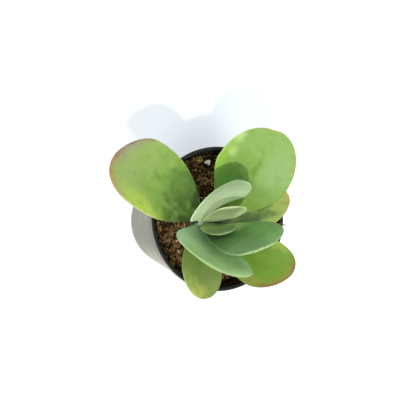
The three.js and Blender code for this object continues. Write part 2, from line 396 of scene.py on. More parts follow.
@dataclass(frozen=True)
class GrainFinish:
    """Puffed white mineral with pits, with a painted glow that keeps it bright in the shade."""

    colour: Colour
    pit: Colour
    # painted glow that keeps the grain bright in the shade
    painted_glow: Colour = (1.0, 0.97, 0.9)
    painted_glow_strength: float = 0.15

    PITS = 1400                     # to a metre
    RELIEF = (0.0003, 0.8)          # metres, and strength

    def material(self, name: str) -> Material:
        """Write the material.

        Args:
            name: the material's name.

        Returns:
            The material.
        """
        grain = Recipe(name)
        pits = grain.speckle(self.PITS, 4.0, 0.7)
        colour = grain.veil(self.pit, self.colour, pits, 0.45, 0.7, 1.0)
        grain.relief(pits, *self.RELIEF)
        return grain.finish(colour, 0.9, Specular_IOR_Level=0.2, Emission_Color=self.painted_glow,
                            Emission_Strength=self.painted_glow_strength)


@dataclass(frozen=True)
class StemFinish:
    """Young green stem that turns woody towards the ground."""

    wood: Colour
    green: Colour
    bloom: Colour
    ground: float                   # height at which it is woody, in metres
    top: float

    RINGS = 350                     # to a metre
    PATCHY = 0.2                    # how far its age wanders, as a share of its height
    RELIEF = (0.0003, 0.6)          # metres, and strength

    def material(self, name: str) -> Material:
        """Write the material.

        Args:
            name: the material's name.

        Returns:
            The material.
        """
        stem = Recipe(name)
        rings = stem.speckle(self.RINGS, 4.0, 0.6)
        age = stem.spread(stem.split(stem.place)[2], self.ground, self.top)
        age = stem.maths("ADD", age, stem.spanned(rings, -self.PATCHY, self.PATCHY))
        colour = stem.ramp(age, ((0.0, self.wood), (0.35, self.green), (1.0, self.bloom)))
        stem.relief(rings, *self.RELIEF)
        return stem.finish(colour, 0.6, Specular_IOR_Level=0.35)


@dataclass(frozen=True)
class BenchFinish:
    """A white bench top with a painted glow that keeps it pale in the shade, painted shade where the
    pot's shadow falls, and painted light that lifts the shadows towards +X and -Y.
    """

    colour: Colour
    # painted glow that keeps the bench pale in the shade
    painted_glow: Colour
    painted_glow_strength: float
    shade: float = 0.3              # the share of the painted glow that the painted shade of the pot takes
    shade_place: Pair = (0.030, 0.050)
    shade_reach: Pair = (0.055, 0.055)
    right: Triple = (0.03, 0.08, 0.16)      # start and end along X, and gain of painted light that lifts the shadows towards +X
    near: Triple = (0.045, 0.0, 0.04)       # start and end along Y, and gain of painted light that lifts the shade beside the pot towards -Y

    def material(self, name: str) -> Material:
        """Write the material.

        Args:
            name: the material's name.

        Returns:
            The material.
        """
        bench = Recipe(name)
        cloud = bench.spanned(bench.speckle(3, 2.0), 0.0, 0.04)
        colour = bench.mix(cloud, self.colour, self.painted_glow)
        # painted shade where the pot's own shadow falls
        shade = bench.patch(bench.place, self.shade_place, self.shade_reach, 0.0)
        lost = bench.maths("MULTIPLY", shade, self.shade * self.painted_glow_strength)
        painted_glow = bench.maths("SUBTRACT", self.painted_glow_strength, lost)
        # painted light that lifts the shadows towards +X and -Y
        for along, (start, end, gain) in zip(bench.split(bench.place), (self.right, self.near)):
            painted_glow = bench.maths("ADD", painted_glow, bench.spread(along, start, end, 0.0, gain))
        return bench.finish(colour, 0.8, Emission_Color=self.painted_glow, Emission_Strength=painted_glow)


# ---- mesh helpers ----


def close_up(mesh: Mesh) -> None:
    """Merge a mesh's doubled vertices and turn its faces outwards."""
    bmesh.ops.remove_doubles(mesh, verts=mesh.verts, dist=1e-6)
    bmesh.ops.recalc_face_normals(mesh, faces=mesh.faces)


def linked(name: str, data: bpy.types.ID) -> Piece:
    """Make an object of some data and put it into the scene.

    Args:
        name: the object's name.
        data: a mesh, a light or a camera.

    Returns:
        The object.
    """
    made = bpy.data.objects.new(name, data)
    bpy.context.scene.collection.objects.link(made)
    return made


def formed(mesh: Mesh, name: str) -> Piece:
    """Turn a bmesh into an object of the scene.

    Args:
        mesh: the bmesh. It is freed.
        name: the object's name.

    Returns:
        The object.
    """
    data = bpy.data.meshes.new(name)
    mesh.to_mesh(data)
    mesh.free()
    return linked(name, data)


def show(mesh: Mesh, name: str, materials: Sequence[Material],
         stands_for: Sequence[str] = (), smooth: bool = True) -> Piece:
    """Turn a bmesh into a finished piece of the plant.

    Args:
        mesh: the bmesh, in metres and in place. It is freed.
        name: the piece's name.
        materials: its materials, in the order of the faces' material numbers.
        stands_for: the CAD nodes that the piece replaces.
        smooth: whether its faces are shaded smooth.

    Returns:
        The piece.
    """
    for face in mesh.faces:
        face.smooth = smooth
    piece = formed(mesh, name)
    for material in materials:
        piece.data.materials.append(material)
    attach(piece, BODY)
    if stands_for:
        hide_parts(*stands_for)
    LOG.info("%s: %d faces", name, len(piece.data.polygons))
    return piece


def turned(profile: Profile, steps: int) -> Mesh:
    """Spin a profile that starts and ends on the axis into a closed solid.

    Args:
        profile: pairs of a radius and a height, in millimetres.
        steps: how many steps the full turn has.

    Returns:
        The solid as a bmesh, in metres.
    """
    mesh = bmesh.new()
    corners = [mesh.verts.new((radius * MM, 0, height * MM)) for radius, height in profile]
    edges = [mesh.edges.new(pair) for pair in zip(corners, corners[1:])]
    bmesh.ops.spin(mesh, geom=corners + edges, cent=(0, 0, 0), axis=(0, 0, 1), dvec=(0, 0, 0),
                   angle=TAU, steps=steps, use_merge=True, use_duplicate=False)
    close_up(mesh)
    return mesh


def finely(profile: Profile, step: float) -> list[Pair]:
    """Add points to a profile so that none lie further apart than a step.

    Args:
        profile: pairs of a radius and a height.
        step: the longest stretch that is left.

    Returns:
        The denser profile.
    """
    dense = [profile[0]]
    for (r0, z0), (r1, z1) in zip(profile, profile[1:]):
        parts = max(1, math.ceil(math.hypot(r1 - r0, z1 - z0) / step))
        dense += [(r0 + (r1 - r0) * i / parts, z0 + (z1 - z0) * i / parts)
                  for i in range(1, parts + 1)]
    return dense


def sown(i: int, count: int, reach: float, stray: float = 0.0) -> Pair:
    """Where the i-th of a number of evenly sown things lies.

    Args:
        i: its number, from 0.
        count: how many there are.
        reach: the radius that they fill.
        stray: the angle by which it strays, in radians.

    Returns:
        Its place.
    """
    radius = reach * math.sqrt((i + 0.5) / count)
    angle = i * GOLDEN_ANGLE + stray
    return radius * math.cos(angle), radius * math.sin(angle)


# ---- pot ----

class PotFace(Enum):
    """Which material a face of the pot takes."""

    OUTSIDE = 0
    INSIDE = 1


@dataclass
class NurseryPot:
    """A tapering plastic pot with a collar, grey outside and black inside. Millimetres."""

    height: float = 97.0
    rim_radius: float = 52.5
    rim_height: float = 4.7
    rim_thickness: float = 2.5
    rim_step: float = 1.6
    foot_radius: float = 37.0
    wall: float = 1.2
    floor: float = 1.6
    foot_bevel: float = 1.5
    rounding: Pair = (0.4, 0.12)    # how far a corner of the collar is cut back, and its middle
    groove_below_top: float = 1.5
    groove: float = 0.25
    groove_halves: Pair = (0.25, 0.1)       # half of its width at its mouth and at its bottom
    drain_holes: int = 8
    drain_radius: float = 3.5
    drain_circle: float = 26.0
    steps: int = 180
    outside: PlasticFinish = PlasticFinish(
        rgb(119, 114, 91), rgb(155, 148, 118), 0.42, 0.4,
        ((0.003, 0.006, 0.3), (0.078, 0.0021, 0.85), (0.0925, 0.0018, 0.85)), rgb(214, 198, 173))
    inside: PlasticFinish = PlasticFinish(rgb(9, 12, 14), rgb(33, 37, 39), 0.5, 0.2,
                                          soiled=rgb(70, 54, 32), soil_line=0.0915)

    def wall_radius(self, z: float) -> float:
        """Outside radius of the tapering wall at a height."""
        rise = self.rim_radius - self.rim_step - self.foot_radius
        return self.foot_radius + rise * z / (self.height - self.rim_height)

    def profile(self) -> list[Pair]:
        """The pot's section.

        Returns:
            Pairs of a radius and a height, from the middle of its underside round to its inside.
        """
        top, rim, foot, bevel = self.height, self.rim_radius, self.foot_radius, self.foot_bevel
        rim_foot = top - self.rim_height
        line = top - self.groove_below_top
        lip = rim - self.rim_thickness
        cut, half_cut = self.rounding
        mouth, bottom = self.groove_halves
        return [
            (0, 0), (foot - bevel, 0), (foot - bevel * 0.45, bevel * 0.15),
            (foot - bevel * 0.1, bevel * 0.5), (self.wall_radius(bevel), bevel),
            (self.wall_radius(rim_foot - cut), rim_foot - cut),
            (self.wall_radius(rim_foot) + 0.25, rim_foot - 0.05),
            (rim - cut, rim_foot), (rim - half_cut, rim_foot + 0.1), (rim, rim_foot + cut),
            (rim, line - mouth), (rim - self.groove, line - bottom),
            (rim - self.groove, line + bottom), (rim, line + mouth),
            (rim, top - cut), (rim - half_cut, top - half_cut), (rim - cut, top),
            (lip + 0.3, top), (lip + 0.05, top - 0.15), (lip, top - cut),
            (self.wall_radius(rim_foot) - self.wall, rim_foot),
            (self.wall_radius(self.floor + 1) - self.wall, self.floor + 1),
            (self.wall_radius(self.floor) - self.wall - 0.8, self.floor + 0.1),
            (self.drain_circle + 8, self.floor), (0, self.floor),
        ]

    def drilled(self, mesh: Mesh) -> Mesh:
        """Cut the drain holes.

        Args:
            mesh: the undrilled pot. It is freed.

        Returns:
            The pot with its holes.
        """
        drills = bmesh.new()
        for i in range(self.drain_holes):
            angle = TAU * i / self.drain_holes
            spot = Vector((math.cos(angle), math.sin(angle), 0)) * self.drain_circle * MM
            bmesh.ops.create_cone(drills, cap_ends=True, segments=32, depth=4 * self.floor * MM,
                                  radius1=self.drain_radius * MM, radius2=self.drain_radius * MM,
                                  matrix=Matrix.Translation(spot))
        work, cutter = formed(mesh, "pot_blank"), formed(drills, "pot_drills")
        cut = work.modifiers.new("drain", "BOOLEAN")
        cut.operation = "DIFFERENCE"
        cut.solver = "EXACT"
        cut.object = cutter
        bpy.context.view_layer.update()
        result = bmesh.new()
        result.from_object(work, bpy.context.evaluated_depsgraph_get())
        for data in (work.data, cutter.data):
            bpy.data.meshes.remove(data)
        return result

    def is_outside(self, centre: Vector) -> bool:
        """Tell whether a face lies on the grey outside.

        Args:
            centre: the face's centre, in metres.

        Returns:
            Whether it does.
        """
        radius, z = math.hypot(centre.x, centre.y) / MM, centre.z / MM
        middle = self.wall_radius(min(z, self.height)) - self.wall * 0.5
        on_top = z > self.height - 0.3
        underneath = z < 0.05
        return (radius > middle or underneath) and not on_top

    def build(self) -> Piece:
        """Spin, drill and dress the pot.

        Returns:
            The pot.
        """
        mesh = self.drilled(turned(self.profile(), self.steps))
        for part in mesh.faces:
            outside = self.is_outside(part.calc_center_median())
            part.material_index = (PotFace.OUTSIDE if outside else PotFace.INSIDE).value
        materials = [self.outside.material("pot_grey"), self.inside.material("pot_black")]
        piece = show(mesh, "nursery_pot", materials, ["pot"])
        piece.data.set_sharp_from_angle(angle=math.radians(40))
        return piece


# ---- potting mix ----


@dataclass
class ChipKind:
    """One size of bark chip that the mix is strewn with. Millimetres."""

    name: str
    count: int
    length: Pair
    width: Pair
    thickness: Pair
    lift: Pair                      # how far the middle lies above the bed
    slant: float                    # radians
    rounding: float                 # bevel, as a share of the thickness
    tone: Pair
    seed: int


@dataclass(frozen=True)
class Splinter:
    """One pale splinter of wood that lies on the mix. Millimetres."""

    spot: Pair
    size: Triple
    turn: float                     # degrees
    finish: BarkFinish
    lift: float = 2.2               # how far its middle lies above the bed


@dataclass
class BarkMix:
    """Chunky bark and coir with dark gaps between the pieces. Millimetres."""

    pot: NurseryPot
    top: float = 84.0
    waves: float = 0.9
    wave_spans: Triple = (7, 9, 6)  # across, along and aslant
    heap: float = 5.0
    heap_start: float = 43.5
    heap_run: float = 5.0
    heap_back: float = 48.0         # where along Y the heap is whole
    clearance: float = 0.3
    low: float = 1.9
    crumble: float = 1.1            # how deep the bed is crumbled
    grain_spot: Pair = (-3.2, 42.0)
    grain_clearing: float = 4.2
    bark: BarkFinish = BarkFinish((
        rgb(20, 13, 6), rgb(55, 38, 17), rgb(90, 65, 33), rgb(121, 91, 50),
        rgb(150, 119, 75), rgb(190, 163, 118)))
    kinds: tuple[ChipKind, ...] = (
        ChipKind("bark_chips", 520, (2.4, 5.8), (1.6, 3.6), (0.8, 1.8), (0.0, 1.3), 0.9,
                 0.3, (0.06, 0.76), 5),
        ChipKind("bark_crumbs", 2600, (0.9, 2.6), (0.7, 1.7), (0.5, 1.2), (0.0, 1.6), 1.2,
                 0.0, (0.05, 0.95), 11),
    )
    splinters: tuple[Splinter, ...] = (
        Splinter((-29.4, -22.2), (3.4, 1.0, 0.7), -50.0, BarkFinish((rgb(226, 206, 176),) * 2)),
        Splinter((-30.5, -14.5), (2.4, 1.6, 0.8), 15.0, BarkFinish((rgb(232, 176, 142),) * 2)),
    )

    STRAY = 0.12                    # radians
    SKEW = 0.18                     # how far a chip's corners are pushed, as a share of its size
    PITCH = 0.6                     # pitch as a share of slant
    BED_STEPS = 160
    BED_TONES = (0.05, 0.12, 0.2)   # of the sides and of the top, and what the crumbs add to it

    def level(self, x: float, y: float) -> float:
        """Height of the bed at a place, in soft waves, heaped against the wall at +Y.

        Args:
            x: the place along X.
            y: the place along Y.

        Returns:
            The height.
        """
        across, along, aslant = self.wave_spans
        wave = math.sin(x / across + 1) * math.cos(y / along)
        wave += 0.6 * math.sin((x + 2 * y) / aslant)
        outwards = max(math.hypot(x, y) - self.heap_start, 0) / self.heap_run
        return self.top + self.waves * wave + self.heap * outwards * max(y / self.heap_back, 0)

    def inside(self, z: float) -> float:
        """Radius that the mix fills at a height."""
        return self.pot.wall_radius(z) - self.pot.wall - self.clearance

    def bed(self) -> Piece:
        """Build the dark bed, rough as crumbled coir.

        Returns:
            The bed, which stands for the CAD node.
        """
        brim = self.top - 1
        edge = self.inside(brim)
        profile = finely([(0, self.low), (self.inside(self.low), self.low), (edge, brim)], 12)
        profile += finely([(edge - 0.6, self.top - 0.5), (0, self.top - 0.5)], 0.8)
        mesh = turned(profile, self.BED_STEPS)
        tone = mesh.verts.layers.float.new("tone")
        side_tone, top_tone, crumb_tone = self.BED_TONES
        for vertex in mesh.verts:
            x, y, z = (c / MM for c in vertex.co)
            vertex[tone] = side_tone
            if z > brim + 0.2:
                crumb = noise.fractal(Vector((x, y, 0)) * 0.45, 0.6, 2.2, 4)
                vertex.co.z = (self.level(x, y) - self.crumble + self.crumble * crumb) * MM
                vertex[tone] = top_tone + crumb_tone * crumb
        return show(mesh, "bark_bed", [self.bark.material("bark_bed")], ["soil"])

    def strewn(self, kind: ChipKind) -> Piece:
        """Strew one size of chips over the bed by a seeded rule.

        Args:
            kind: the size and number of the chips.

        Returns:
            The chips as one piece.
        """
        draw = random.Random(kind.seed)
        mesh = bmesh.new()
        tone = mesh.verts.layers.float.new("tone")
        for i in range(kind.count):
            size = Vector([draw.uniform(*span) for span in
                           (kind.length, kind.width, kind.thickness)])
            inwards = size.x * 0.3
            reach = self.inside(self.top) - inwards - self.clearance
            x, y = sown(i, kind.count, reach, draw.uniform(-self.STRAY, self.STRAY))
            spot = Vector((x, y, self.level(x, y) + draw.uniform(*kind.lift)))
            turn = (Matrix.Rotation(draw.uniform(0, TAU), 4, "Z")
                    @ Matrix.Rotation(draw.uniform(-1, 1) * kind.slant * self.PITCH, 4, "Y")
                    @ Matrix.Rotation(draw.uniform(-1, 1) * kind.slant, 4, "X"))
            shade = draw.uniform(*kind.tone)
            skew = [Vector([draw.uniform(-self.SKEW, self.SKEW) for _ in range(3)])
                    for _ in range(8)]
            if math.dist((x, y), self.grain_spot) < self.grain_clearing + inwards:
                continue
            made = bmesh.ops.create_cube(mesh, size=1.0)["verts"]
            for vertex, nudge in zip(made, skew):
                vertex.co = (vertex.co + nudge) * size * MM
                vertex[tone] = shade
            if kind.rounding:
                edges = {edge for vertex in made for edge in vertex.link_edges}
                made = bmesh.ops.bevel(
                    mesh, geom=list(edges), offset=size.z * kind.rounding * MM, segments=1,
                    profile=0.5, affect="EDGES", material=-1, clamp_overlap=True)["verts"]
                for vertex in made:
                    vertex[tone] = shade
            bmesh.ops.transform(mesh, matrix=Matrix.Translation(spot * MM) @ turn, verts=made)
        return show(mesh, kind.name, [self.bark.material(kind.name)], smooth=False)

    def laid(self, number: int, splinter: Splinter) -> Piece:
        """Lay one pale splinter on the mix.

        Args:
            number: the number that ends its name.
            splinter: its place, size and finish.

        Returns:
            The splinter.
        """
        mesh = bmesh.new()
        x, y = splinter.spot
        spot = Vector((x, y, self.level(x, y) + splinter.lift)) * MM
        turn = (Matrix.Rotation(math.radians(splinter.turn), 4, "Z")
                @ Matrix.Diagonal((*(side * MM for side in splinter.size), 1.0)))
        bmesh.ops.create_icosphere(mesh, subdivisions=2, radius=0.5,
                                   matrix=Matrix.Translation(spot) @ turn)
        name = f"pale_splinter_{number}"
        return show(mesh, name, [splinter.finish.material(name)])

    def build(self) -> list[Piece]:
        """Build the bed and strew it.

        Returns:
            The pieces of the mix.
        """
        return [self.bed(), *(self.strewn(kind) for kind in self.kinds),
                *(self.laid(i, splinter) for i, splinter in enumerate(self.splinters, 1))]


@dataclass
class Fibres:
    """Thin coir fibres, strewn over the mix, and one that hangs out over the rim. Millimetres."""

    mix: BarkMix
    count: int = 150
    thickness: Pair = (0.10, 0.22)
    length: Pair = (5.0, 15.0)
    seed: int = 8
    stray: tuple[Triple, ...] = (
        (45.5, -4.2, 86.0), (47.6, -5.2, 92.0), (49.3, -5.9, 96.6), (50.8, -6.3, 97.5),
        (52.6, -6.9, 97.6), (54.0, -7.5, 97.2), (55.1, -8.0, 96.6))
    stray_radius: float = 0.4

    POINTS = 8
    CURL = 0.5                      # radians over three steps
    RISE = (1.3, 0.7)               # how high a fibre lies over the bed, and how much that varies
    ROOM = 1.5                      # between a fibre's end and the wall
    TONE = 0.62

    def strand(self, mesh: Mesh, path: Sequence[Vector], radius: float) -> None:
        """Draw a ball out into one thin strand along a path.

        Args:
            mesh: the mesh that takes it.
            path: the points that it follows, in millimetres.
            radius: half its thickness, in millimetres.
        """
        last = len(path) - 1
        ball = bmesh.ops.create_uvsphere(mesh, u_segments=5, v_segments=2 * last, radius=1.0)
        for vertex in ball["verts"]:
            ring = Vector((vertex.co.x, vertex.co.y, 0))
            slot = last * (1 + vertex.co.z) / 2
            low = min(int(slot), last - 1)
            place = path[low].lerp(path[low + 1], slot - low)
            turn = (path[low + 1] - path[low]).to_track_quat("Z", "Y")
            vertex.co = (place + turn @ (ring * radius)) * MM

    def build(self) -> Piece:
        """Strew the fibres by a seeded rule.

        Returns:
            The fibres as one piece.
        """
        draw = random.Random(self.seed)
        mesh = bmesh.new()
        for i in range(self.count):
            length = draw.uniform(*self.length)
            reach = self.mix.inside(self.mix.top) - length * 0.5 - self.ROOM
            heading = draw.uniform(0, TAU)
            curl = draw.uniform(-self.CURL, self.CURL)
            place = Vector((*sown(i, self.count, reach), 0))
            path = []
            for step in range(self.POINTS):
                rise = self.RISE[0] + self.RISE[1] * math.sin(step * 0.9 + i)
                level = self.mix.level(place.x, place.y)
                path.append(Vector((place.x, place.y, level + rise)))
                heading += curl / 3
                place += Vector((math.cos(heading), math.sin(heading), 0)) * length / self.POINTS
            self.strand(mesh, path, draw.uniform(*self.thickness) / 2)
        self.strand(mesh, [Vector(point) for point in self.stray], self.stray_radius)
        tone = mesh.verts.layers.float.new("tone")
        for vertex in mesh.verts:
            vertex[tone] = self.TONE
        close_up(mesh)
        return show(mesh, "coir_fibres", [self.mix.bark.material("coir_fibres")])


@dataclass
class PerliteGrain:
    """One white grain, half sunk in the mix. Millimetres."""

    mix: BarkMix
    lobes: tuple[tuple[float, float, float, float], ...] = (
        (-1.5, 0.0, 0.0, 0.85), (-0.3, 0.25, 0.2, 1.25), (1.1, 0.55, 0.3, 1.45),
        (2.0, 0.9, 0.1, 1.0), (1.2, -1.2, 0.1, 1.0))     # x, y, z and radius
    finish: GrainFinish = GrainFinish(rgb(252, 248, 236), rgb(222, 208, 182))
    height: float = 1.2             # of the middle over the bed
    least: float = 0.6              # the least radius
    pitting: float = 0.1            # depth of the pits, as a share of the radius

    def build(self) -> Piece:
        """Build the grain by pushing a ball out to the skin of a few lobes.

        Returns:
            The grain, which stands for the CAD node.
        """
        mesh = bmesh.new()
        bmesh.ops.create_icosphere(mesh, subdivisions=4, radius=1.0)
        x, y = self.mix.grain_spot
        spot = Vector((x, y, self.mix.level(x, y) + self.height))
        for vertex in mesh.verts:
            ray = vertex.co.normalized()
            reach = self.least
            for *centre, radius in self.lobes:
                middle = Vector(centre)
                ahead = ray.dot(middle)
                room = radius * radius - middle.length_squared + ahead * ahead
                if room > 0:
                    reach = max(reach, ahead + math.sqrt(room))
            lump = 1 - self.pitting * abs(noise.fractal(ray * 3, 0.8, 2.0, 3))
            vertex.co = (ray * reach * lump + spot) * MM
        skin = self.finish.material("perlite")
        return show(mesh, "perlite", [skin], ["perlite_grain"])


# ---- stem ----


@dataclass
class Stem:
    """A short thick stem, ringed with leaf scars. Millimetres."""

    x: float = -17.5
    y: float = -2.2
    root: float = 58.0
    ground: float = 84.0
    tip: float = 119.0
    radii: tuple[Pair, ...] = (
        (1.2, -26), (2.6, -20), (4.4, -8), (4.9, 0), (4.6, 5), (4.8, 8), (4.4, 12), (4.5, 16),
        (3.9, 20), (3.6, 25), (2.4, 29), (1.7, 33), (0.9, 34.6))     # and heights over the ground
    scar_spacing: float = 6.5
    scar_offset: float = 3.2
    scar_width: float = 0.5
    shrink: Triple = (0.05, 0.05, -0.04)    # everywhere, by lumps and at scars, as shares

    def build(self) -> Piece:
        """Spin the stem and roughen it a little.

        Returns:
            The stem, which stands for the CAD node.
        """
        line = [(0, self.root - 1), *((r, self.ground + z) for r, z in self.radii), (0, self.tip)]
        mesh = turned(finely(line, 1.0), 48)
        for vertex in mesh.verts:
            radial = Vector((vertex.co.x, vertex.co.y, 0))
            lump = noise.fractal(vertex.co * 400, 0.8, 2.0, 3)
            above = vertex.co.z / MM % self.scar_spacing - self.scar_offset
            scar = math.exp(-(above / self.scar_width) ** 2)
            even, by_lump, by_scar = self.shrink
            vertex.co -= radial * (even + by_lump * lump + by_scar * scar)
            vertex.co += Vector((self.x, self.y, 0)) * MM
        finish = StemFinish(rgb(96, 92, 58), rgb(84, 118, 84), rgb(84, 116, 108),
                            self.ground * MM, (self.tip - 6) * MM)
        return show(mesh, "plant_stem", [finish.material("stem_skin")], ["stem"])


# ---- leaves ----


@dataclass
class Leaf:
    """One fleshy blade on the stem. Millimetres and degrees.

    Heading, lift and roll are given at the seat, and with what the leaf turns by towards its tip.
    Widest is the share of the length at which the blade is widest, foot the share of the width at
    the seat, flare how slowly it opens, end how square its tip is, skew by which share the left
    half's end is squarer, lean the share by which the left half is wider, and cup how far the
    margins are raised.
    """

    name: str
    slot: str
    seat: Triple
    heading: Pair
    lift: Pair
    roll: Pair
    length: float
    width: float
    widest: float
    foot: float
    flare: float
    end: float
    skew: float
    lean: float
    cup: float
    thick: float
    finish: LeafFinish
    wave: float = 0.15              # how far the margin waves
    setback: float = 0.25           # the skin stays this far inside the solid's outline

    FINE_AROUND = 72
    FINE_ALONG = 80
    STEPS = 60
    EDGE = 1.3                      # width of the rounded margin
    THINNING = 0.55
    TIP_THICKNESS = 0.62
    START = 1.6                     # how far the blade begins behind its seat
    CREASE = (0.16, 1.8)            # depth over the midrib as a share of the thickness, and width
    RIPPLES = (9, 1.7)              # radians from seat to tip, and from the midrib to a margin

    def half_width(self, share: float, side: float) -> float:
        """Half of the blade's width at one place.

        Args:
            share: the share of the length.
            side: from -1 at the right margin to 1 at the left one.

        Returns:
            The half width.
        """
        half = self.width / 2
        if share < self.widest:
            opening = math.sin(math.pi / 2 * max(share, 0) / self.widest) ** self.flare
            return half * (self.foot + (1 - self.foot) * opening)
        to_tip = min((share - self.widest) / (1 - self.widest), 1)
        power = self.end * (1 + self.skew * side)
        return half * (1 - to_tip ** power) ** (1 / power)

    def midrib(self, stem: Stem) -> list[tuple[Vector, Vector, Vector, Vector]]:
        """Walk along the midrib.

        Args:
            stem: the stem that carries the leaf.

        Returns:
            For each step the place and the directions along, across to the left, and up.
        """
        place = Vector((stem.x + self.seat[0], stem.y + self.seat[1], self.seat[2]))
        stations = []
        before = None
        for i in range(self.STEPS + 1):
            share = i / self.STEPS
            heading, lift, roll = (math.radians(start + turn * share)
                                   for start, turn in (self.heading, self.lift, self.roll))
            along = Vector((math.cos(lift) * math.cos(heading),
                            math.cos(lift) * math.sin(heading), math.sin(lift)))
            across = Vector((-math.sin(heading), math.cos(heading), 0))
            across = Matrix.Rotation(roll, 3, along) @ across
            if before is not None:
                place = place + (before + along) * self.length / self.STEPS / 2
            before = along
            stations.append((place, along, across, along.cross(across)))
        return stations

    def station(self, stations: list[tuple[Vector, Vector, Vector, Vector]],
                share: float) -> tuple[Vector, Vector, Vector]:
        """A place of the midrib between two steps.

        Args:
            stations: the steps of the midrib.
            share: the share of the length.

        Returns:
            The place and the directions across and up.
        """
        slot = min(max(share, 0), 1) * self.STEPS
        low = min(int(slot), self.STEPS - 1)
        a, b = stations[low], stations[low + 1]
        mixed = [one.lerp(other, slot - low) for one, other in zip(a, b)]
        place = mixed[0] + a[1] * min(share, 0) * self.length
        return place, mixed[2].normalized(), mixed[3].normalized()

    def surface(self, share: float, side: float, face: float) -> Triple:
        """Where the skin lies in the blade's cross-section.

        Args:
            share: the share of the length.
            side: from -1 at the right margin to 1 at the left one.
            face: negative below and positive above.

        Returns:
            How far across and up from the midrib it lies, and how far in from the margin.
        """
        half = self.half_width(share, side)
        inset = min(half * (1 - abs(side)), (1 - share) * self.length)
        half = max(half - self.setback, 0)
        x = half * side * (1 + self.lean * side)
        rounding = math.sqrt(1 - (1 - min(inset / self.EDGE, 1)) ** 2)
        taper = 1 - (1 - self.TIP_THICKNESS) * share
        depth = self.thick / 2 * taper * (1 - self.THINNING * side * side) * rounding
        deep, wide = self.CREASE
        crease = deep * math.exp(-(x / wide) ** 2) * math.sin(math.pi * min(max(share, 0), 1))
        depth *= 1 - crease if face > 0 else 1 + crease
        dish = self.cup * x * x / (self.width / 2)
        lengthwise, sideways = self.RIPPLES
        ripple = self.wave * side * side * math.sin(share * lengthwise + side * sideways)
        return x, dish + ripple + math.copysign(depth, face) * (abs(face) > 1e-3), inset

    def build(self, stem: Stem) -> Piece:
        """Draw a ball out into the blade.

        Args:
            stem: the stem that carries the leaf.

        Returns:
            The leaf, which stands for the CAD node of its name.
        """
        stations = self.midrib(stem)
        start, end = -self.START / self.length, 1 - self.setback / self.length
        mesh = bmesh.new()
        bmesh.ops.create_uvsphere(mesh, u_segments=self.FINE_AROUND,
                                  v_segments=self.FINE_ALONG, radius=1.0)
        blade = mesh.verts.layers.float_vector.new("blade")
        rim = mesh.verts.layers.float.new("rim")
        for vertex in mesh.verts:
            share = start + (end - start) * (1 + vertex.co.z) / 2
            ring = math.hypot(vertex.co.x, vertex.co.y)
            at_pole = ring < 1e-6
            side, face = (0.0, 0.0) if at_pole else (vertex.co.x / ring, vertex.co.y / ring)
            across, up, inset = self.surface(share, side, face)
            place, left, above = self.station(stations, share)
            if at_pole:
                across, up = 0.0, 0.0
            vertex.co = (place + left * across + above * up) * MM
            vertex[blade] = (share, across / (self.width / 2), face)
            vertex[rim] = inset
        bmesh.ops.recalc_face_normals(mesh, faces=mesh.faces)
        skin = self.finish.material(f"{self.name}_skin")
        return show(mesh, f"{self.name}_blade", [skin], [self.name])


